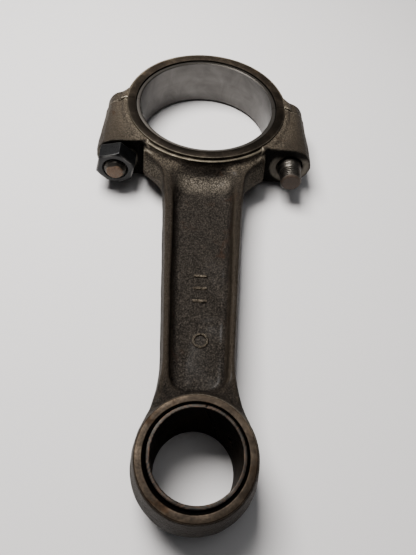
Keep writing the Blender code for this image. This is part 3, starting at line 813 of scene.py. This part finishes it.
def nut_finish():
    """Black-oxide nut: nearly black, its edges rubbed to grey."""
    made, tree, shader, spot = start_finish("black oxide nut")
    edge = kept(tree, "edge_fine")
    grain = effect(tree, GRAIN, {"Place": spot, "Pit Size": 0.5, "Patch Size": 3.5})
    worn = effect(tree, EDGE, {"Place": spot, "Edge": edge, "Start": 0.30, "Full": 0.85, "Breakup": 0.5})
    base = ramp(tree, grain["Patches"], [(0.32, (0.0016, 0.0017, 0.0019)), (0.70, (0.0062, 0.0064, 0.0068))])
    base = blend_colours(tree, times(tree, worn["Mask"], 0.85), base, (0.15, 0.147, 0.14))
    rough = calc(tree, "MULTIPLY_ADD", grain["Pits"], 0.2, 0.20)
    metal = calc(tree, "MULTIPLY_ADD", worn["Mask"], 0.4, 0.45)
    normal = bump(tree, grain["Height"], 0.00009, 0.5)
    wire(tree, shader, Base_Color=base, Roughness=rough, Metallic=metal, Normal=normal)
    return made


def shell_finish():
    """Bearing lining: satin silver-grey, with faint rubbing rings round its bore and dull brown stains."""
    made, tree, shader, spot = start_finish("bearing lining")
    rings = effect(tree, TURNING, {"Place": spot, "Centre": BIG_CENTRE, "Rings Per Millimetre": 2.2})
    grain = effect(tree, GRAIN, {"Place": spot, "Pit Size": 0.8, "Patch Size": 8.0})
    grime = effect(tree, GRIME, {"Place": spot, "Rust": 0.25, "Oil": 0.4})
    base = ramp(tree, grain["Patches"], [(0.30, (0.078, 0.074, 0.070)), (0.70, (0.132, 0.126, 0.120))])
    rim = span(tree, from_mid_plane(tree, spot), (SHELL_HALF - 0.32) * MM, (SHELL_HALF - 0.12) * MM)
    tone = ramp(tree, rings["Streaks"], [(0.30, 0.88), (0.70, 1.10)])
    base = blend_colours(tree, 0.8, base, tone, "MULTIPLY")
    base = blend_colours(tree, times(tree, grime["Rust Mask"], 0.3), base, (0.135, 0.105, 0.078))
    base = blend_colours(tree, times(tree, grime["Oil Mask"], 0.25), base, (0.075, 0.070, 0.062))
    base = blend_colours(tree, times(tree, rim, 0.7), base, (0.050, 0.043, 0.035))
    rough = calc(tree, "MULTIPLY_ADD", rings["Streaks"], 0.18, 0.30)
    normal = bump(tree, rings["Height"], 0.00003, 0.5)
    wire(tree, shader, Base_Color=base, Roughness=rough, Metallic=0.92, Normal=normal)
    return made


def bush_finish():
    """Bronze bush: dark copper brown, brighter where the pin has rubbed its lip, streaked round its bore."""
    made, tree, shader, spot = start_finish("bush bronze")
    edge = kept(tree, "edge_fine")
    rings = effect(tree, TURNING, {"Place": spot, "Centre": SMALL_CENTRE, "Rings Per Millimetre": 2.0})
    grain = effect(tree, GRAIN, {"Place": spot, "Pit Size": 0.5, "Patch Size": 5.0})
    grime = effect(tree, GRIME, {"Place": spot, "Rust": 0.5, "Oil": 0.5})
    worn = effect(tree, EDGE, {"Place": spot, "Edge": edge, "Start": 0.25, "Full": 1.0, "Breakup": 1.1})
    base = ramp(tree, grain["Patches"], [(0.30, (0.0085, 0.0083, 0.0075)), (0.70, (0.0260, 0.0250, 0.0225))])
    tone = ramp(tree, rings["Streaks"], [(0.30, 0.7), (0.70, 1.3)])
    base = blend_colours(tree, 0.8, base, tone, "MULTIPLY")
    base = blend_colours(tree, times(tree, grime["Oil Mask"], 0.5), base, (0.0045, 0.0036, 0.003))
    base = blend_colours(tree, times(tree, worn["Mask"], 0.8), base, (0.046, 0.026, 0.0165))
    rough = calc(tree, "MULTIPLY_ADD", rings["Streaks"], 0.2, 0.38)
    normal = bump(tree, rings["Height"], 0.00004, 0.6)
    wire(tree, shader, Base_Color=base, Roughness=rough, Metallic=0.9, Normal=normal)
    wire(tree, shader, Specular_Tint=(0.22, 0.19, 0.17))
    return made


# ---- the pieces ----
def make_forgings():
    forged_piece(
        "rod_forging",
        rod_field,
        (-41.25, -147.5, -12.0),
        (41.25, 1.0, 12.0),
        FINE,
        forged_finish("forged rod", 0.30),
        "rod",
        ["rod_body"],
        notch_masks,
    )
    forged_piece(
        "web_marks",
        mark_field,
        (-2.6, -100.0, WEB - 0.6),
        (3.2, -74.0, WEB + 0.6),
        (0.13, 0.13, 0.11),
        forged_finish("forged marks", 0.2, 0.5),
        "rod",
        ["rod_body"],
    )
    forged_piece(
        "cap_forging",
        cap_field,
        (-41.25, -1.0, -9.5),
        (41.25, 34.5, 9.5),
        FINE,
        forged_finish("forged cap", 0.42),
        "cap",
        ["big_end_cap"],
    )


def make_big_end_faces():
    """The machined rings of the rod and of the cap: a raised thrust face, a groove and a lower band."""
    upper = [
        (BORE, BIG_HALF, 0.25),
        (THRUST, BIG_HALF, 0.18),
        (THRUST, BAND_HALF - 0.15, 0.1),
        (THRUST + 0.4, BAND_HALF - 0.15, 0.1),
        (THRUST + 0.5, BAND_HALF, 0.1),
        (BAND, BAND_HALF, 0.2),
        (BAND, BAND_HALF - 0.5, 0.1),
        (29.2, 7.4, 0),
    ]
    for side, name, body, owner in (
        (-1, "rod_big_end_faces", "rod", "rod_body"),
        (1, "cap_big_end_faces", "cap", "big_end_cap"),
    ):
        outer = BAND if side < 0 else 31.0
        top = [(min(r, outer), h, rounding) for r, h, rounding in upper]
        profile = top + [(r, -h, rounding) for r, h, rounding in reversed(top)]
        points, faces = half_ring(profile, side)
        if side > 0:
            outwards = ease(np.hypot(points[:, 0], points[:, 1]), THRUST + 0.5, outer)
            points[:, 1] += CAP_OFF_CENTRE * outwards * ease(points[:, 1], 4, 28)
        thrust = (0.0105, 0.0082, 0.0060)
        band = (0.105, 0.090, 0.066) if side < 0 else (0.05, 0.042, 0.031)
        zones = [
            (26.70, (0.003, 0.0025, 0.002)),
            (26.85, GROOVE_BLACK),
            (27.00, thrust),
            (29.70, thrust),
            (29.95, (0.050, 0.043, 0.032)),
            (30.10, (0.070, 0.060, 0.045)),
            (30.22, GROOVE_BLACK),
            (30.50, (0.010, 0.008, 0.006)),
            (30.75, band),
            (31.45, band),
        ]
        # Painted sheen: the faces are painted lighter towards the cap, up to 4.4 times at its far side.
        rise = (BIG_END_Y - 0.006, BIG_END_Y + 0.027, 4.4)
        finish = turned_finish(f"turned big end {body}", BIG_CENTRE, zones, 0.42, 3.5, rise=rise)
        piece_from(name, points, faces, finish, body, [owner], sharp=32)


def make_small_end_faces():
    """The machined face at each side of the eye: a land a little off the bore's centre, and a chamfer into it that is
    painted nearly black as shade.
    """
    upper = [
        (EYE_BORE, EYE_HALF - 2.0, 0),
        (EYE_BORE, EYE_HALF - 0.75, 0.1),
        (EYE_BORE + 0.45, EYE_HALF, 0.12),
        (EYE_FACE, EYE_HALF, 0.2),
        (EYE_FACE + 0.15, EYE_HALF - 0.5, 0),
        (EYE_FACE - 0.8, EYE_HALF - 2.0, 0),
    ]
    # Painted shade: the bore's edge and the chamfer, out to 12.62 mm, are nearly black, rising to the land's tone by
    # 12.78 mm.
    zones = [
        (12.00, (0.002, 0.0017, 0.0015)),
        (12.62, (0.0025, 0.002, 0.0017)),
        (12.78, (0.022, 0.0165, 0.0118)),
        (13.40, (0.0165, 0.0125, 0.0090)),
        (14.45, (0.025, 0.0185, 0.0128)),
    ]
    off_x, off_y = -0.16, -0.26
    centre = (off_x * MM, SMALL_CENTRE[1] + off_y * MM, 0.0)
    finish = turned_finish("turned small end", centre, zones, 0.46, 3.0, spots=0.5)
    angles = np.linspace(0, 2 * math.pi, 144, endpoint=False)
    for name, side in (("small_end_face_top", 1), ("small_end_face_under", -1)):
        points, faces = carried_round(softened(upper), angles, True)
        outwards = ease(np.hypot(points[:, 0], points[:, 1]), EYE_BORE, EYE_BORE + 0.45)
        points[:, 0] += off_x * outwards
        points[:, 1] += EYE_Y + off_y * outwards
        points[:, 2] *= side
        piece_from(name, points, facing_out(points, faces), finish, "rod", ["rod_body"], sharp=32)


def make_shells():
    """The two halves of the bearing: thin arcs with broken edges, each with a pressed dimple inside at its left end."""
    finish = shell_finish()
    for side, name, body, owner in (
        (-1, "rod_side_shell", "rod", "big_end_shell_rod_side"),
        (1, "cap_side_shell", "cap", "big_end_shell_cap_side"),
    ):
        heights = np.linspace(SHELL_HALF - 0.3, -SHELL_HALF + 0.3, 33)
        inner = [(SHELL_INNER, h, 0) for h in heights[::-1]]
        profile = [
            *inner,
            (SHELL_INNER + 0.3, SHELL_HALF, 0.05),
            (BORE - 0.1, SHELL_HALF, 0.12),
            (BORE - 0.1, -SHELL_HALF, 0.12),
            (SHELL_INNER + 0.3, -SHELL_HALF, 0.05),
        ]
        points, faces = half_ring(profile, side, 180)
        radial = np.hypot(points[:, 0], points[:, 1])
        tang_z = -side * TANG_Z
        near = ease(side * points[:, 1], 4.6, 3.4) * ease(points[:, 0], 0.0, -5.0)
        near = near * ease(np.abs(points[:, 2] - tang_z), 2.4, 1.6)
        pressed = 0.75 * near * (radial < SHELL_INNER + 0.2)
        points[:, :2] *= (1 + pressed / radial)[:, None]
        piece_from(name, points, faces, finish, body, [owner], sharp=32)


def bolt_profile(end_radius, start):
    """A bolt's (radius, height) outline: chamfered tip, thread, plain shank and low domed head."""
    tip = [(0.0, TIP_Y, 0), (end_radius, TIP_Y, 0.2), (THREAD, start, 0.15), (THREAD, start + 0.3, 0)]
    rows = 130
    thread = np.stack([np.full(rows, THREAD), np.linspace(start + 0.3, -24.9, rows)], 1)
    body = BOLT - 0.02
    shank = [(THREAD + 0.08, -24.7), (BOLT - 0.08, -24.3), (body, -24.1), (body, -18)]
    head = [
        (body, HEAD_SEAT - 0.3, 0),
        (body, HEAD_SEAT, 0),
        (5.15, HEAD_SEAT, 0.15),
        (5.2, HEAD_SEAT + 1.1, 0.35),
        (3.4, HEAD_SEAT + 2.9, 0.7),
        (0.0, HEAD_SEAT + 3.0, 0),
    ]
    return np.concatenate([softened(tip)[1:-1], thread, shank, softened(head)[:-1]])


def threaded_turning(profile, start):
    """A (radius, height) profile carried about Z and closed by a fan of triangles at each end. Past the nut's seat
    the radius drops by a thread's depth, which goes round with the angle as it goes along the bolt."""
    around, count = 96, len(profile)
    radius, height = profile[:, 0][None], profile[:, 1][None]
    angle = np.linspace(0, 2 * math.pi, around, endpoint=False)[:, None]
    wave = (height / THREAD_PITCH + angle / (2 * math.pi)) % 1.0
    threaded = ease(-height, 25.0, 26.2) * ease(height, start - 0.6, start + 0.1)
    radius = radius - THREAD_DEPTH * threaded * (1 - ease(np.abs(wave - 0.5) * 2, 0.15, 0.95))
    points = np.stack([radius * np.cos(angle), radius * np.sin(angle), height + 0 * angle], 2).reshape(-1, 3)
    i = np.arange(around)[:, None]
    j = np.arange(count - 1)[None]
    a, b = i * count, (i + 1) % around * count
    faces = np.stack([a + j, b + j, b + j + 1, a + j + 1], 2).reshape(-1, 4).tolist()
    ring, first = np.arange(around), len(points)
    for centre, at in ((first, 0), (first + 1, count - 1)):
        fan = np.stack([np.full(around, centre), ring * count + at, (ring + 1) % around * count + at], 1)
        faces += (fan if at else fan[:, [0, 2, 1]]).tolist()
    return np.concatenate([points, [[0, 0, TIP_Y + 0.03], [0, 0, HEAD_SEAT + 3.0]]]), faces


def make_bolts():
    """The two fitted bolts, each with its head cut flat beside the ring."""
    for side, name, body, owner, end_radius, tip_light, rust_reach in (
        (-1, "left_bolt", "bolt_left", "rod_bolt_left", 2.75, 3.0, 0.0004),
        (1, "right_bolt", "bolt_right", "rod_bolt_right", 3.25, 0.95, 0.0013),
    ):
        start = TIP_Y + THREAD - end_radius
        points, faces = threaded_turning(bolt_profile(end_radius, start), start)
        points = along_y(points, side * BOLT_X)
        above = points[:, 1] > HEAD_SEAT - 0.02
        points[:, 0] = np.where(above, side * np.maximum(side * points[:, 0], HEAD_FLAT_X), points[:, 0])
        finish = bolt_finish(f"{name} steel", tip_light, rust_reach)
        piece_from(name, points, facing_out(points, faces), finish, body, [owner], sharp=34)


def make_nut():
    """A hexagon nut. Its outside radius at an angle is the hexagon's or, near the outer face, the turned chamfer's,
    whichever is less. A countersink opens the threaded hole."""
    inner = SEAT_Y - 0.1
    outer = inner - NUT_HEIGHT
    corner = NUT_HALF / math.cos(math.pi / 6)
    lean = math.radians(30)

    def nut_field(x, y, z):
        px, pz = x + BOLT_X, z
        rad = np.hypot(px, pz)
        angle = np.arctan2(pz, px) - math.radians(NUT_TURN)
        folded = (angle + math.pi / 6) % (math.pi / 3) - math.pi / 6
        hexagon = rad * np.cos(math.pi / 6 - np.abs(folded)) - NUT_HALF
        body = round_max(hexagon, y - inner, 0.25)
        body = round_max(body, outer - y, 0.3)
        cone = (rad - (corner - 1.15) - (y - outer) / math.tan(lean)) * math.sin(lean)
        body = round_max(body, cone, 0.2)
        back = (rad - (corner - 0.4) - (inner - y) / math.tan(lean)) * math.sin(lean)
        body = round_max(body, back, 0.15)
        sink = (rad - THREAD - 0.85 + (y - outer)) * 0.7071
        hole = np.minimum(rad - THREAD - 0.1, sink)
        return round_max(body, -hole, 0.12)

    forged_piece(
        "left_nut",
        nut_field,
        (-BOLT_X - 7.9, outer - 0.6, -7.9),
        (-BOLT_X + 7.9, inner + 0.6, 7.9),
        (0.22, 0.22, 0.22),
        nut_finish(),
        "nut_left",
        ["rod_nut_left"],
    )


def make_bush():
    forged_piece(
        "wrapped_bush",
        bush_field,
        (-12.6, EYE_Y - 12.6, -11.7),
        (12.6, EYE_Y + 12.6, 11.7),
        (0.3, 0.3, 0.3),
        bush_finish(),
        "rod",
        ["small_end_bush"],
    )


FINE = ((0.55, 0.55, 0.5))
make_forgings()
make_big_end_faces()
make_small_end_faces()
make_shells()
make_bolts()
make_nut()
make_bush()


# ---- floor, light and camera ----
FLOOR_REACH = 1.6
CAMERA_AT = (-0.005112, -0.099857, 0.139038)
CAMERA_LENS = 31.23
CAMERA_TURNS = ((-0.0906, "Z"), (0.5753, "X"), (0.1284, "Z"))
SURROUND = (0.86, 0.87, 0.92, 1)
SURROUND_STRENGTH = 0.07


def make_floor():
    """A pale floor, tilted a little so that the rod lies on its eye and on its cap."""
    mesh = bpy.data.meshes.new("floor")
    eye_foot = BIG_END_Y + (EYE_Y + EYE_FACE) * MM
    cap_foot = BIG_END_Y + BAND * MM
    slope = (EYE_HALF - BIG_HALF) * MM / (cap_foot - eye_foot)
    corners = [(-1, -1), (1, -1), (1, 1), (-1, 1)]
    corners = [(x * FLOOR_REACH, y * FLOOR_REACH, (y * FLOOR_REACH - eye_foot) * slope) for x, y in corners]
    mesh.from_pydata(corners, [], [(0, 1, 2, 3)])
    floor = bpy.data.objects.new("floor", mesh)
    bpy.context.scene.collection.objects.link(floor)
    made, shader = new_material("pale floor")
    wire(made.node_tree, shader, Base_Color=(0.66, 0.645, 0.64), Roughness=0.75)
    mesh.materials.append(made)


def area_light(name, place_at, size, power, colour):
    """A rectangular lamp that shines at the frame's origin and isn't seen itself."""
    data = bpy.data.lights.new(name, "AREA")
    data.shape = "RECTANGLE"
    data.size, data.size_y = size
    data.energy = power
    data.color = colour
    lamp = bpy.data.objects.new(name, data)
    lamp.visible_camera = False
    bpy.context.scene.collection.objects.link(lamp)
    z = np.array(place_at, float) / np.linalg.norm(place_at)
    x = np.cross((0, 1, 0), z)
    x = x / np.linalg.norm(x)
    lamp.matrix_world = Matrix.Translation(place_at) @ Matrix(np.stack([x, np.cross(z, x), z], 1).tolist()).to_4x4()


def make_camera():
    data = bpy.data.cameras.new("camera")
    data.lens = CAMERA_LENS
    data.sensor_width = 36.0
    data.clip_start, data.clip_end = 0.005, 10.0
    camera = bpy.data.objects.new("camera", data)
    bpy.context.scene.collection.objects.link(camera)
    first, second, third = (Matrix.Rotation(angle, 4, axis) for angle, axis in CAMERA_TURNS)
    camera.matrix_world = Matrix.Translation(CAMERA_AT) @ (first @ second @ third)
    bpy.context.scene.camera = camera


make_floor()
make_camera()
area_light("lamp", (-0.11, 0.12, 0.36), (0.19, 0.19), 4.3, (1.0, 0.98, 0.96))
area_light("ceiling", (0.10, 0.05, 0.95), (0.7, 0.5), 1.2, (0.97, 0.98, 1.0))
world = bpy.data.worlds.new("soft surround")
world.use_nodes = True
surround = world.node_tree.nodes["Background"].inputs
surround[0].default_value = SURROUND
surround[1].default_value = SURROUND_STRENGTH
bpy.context.scene.world = world
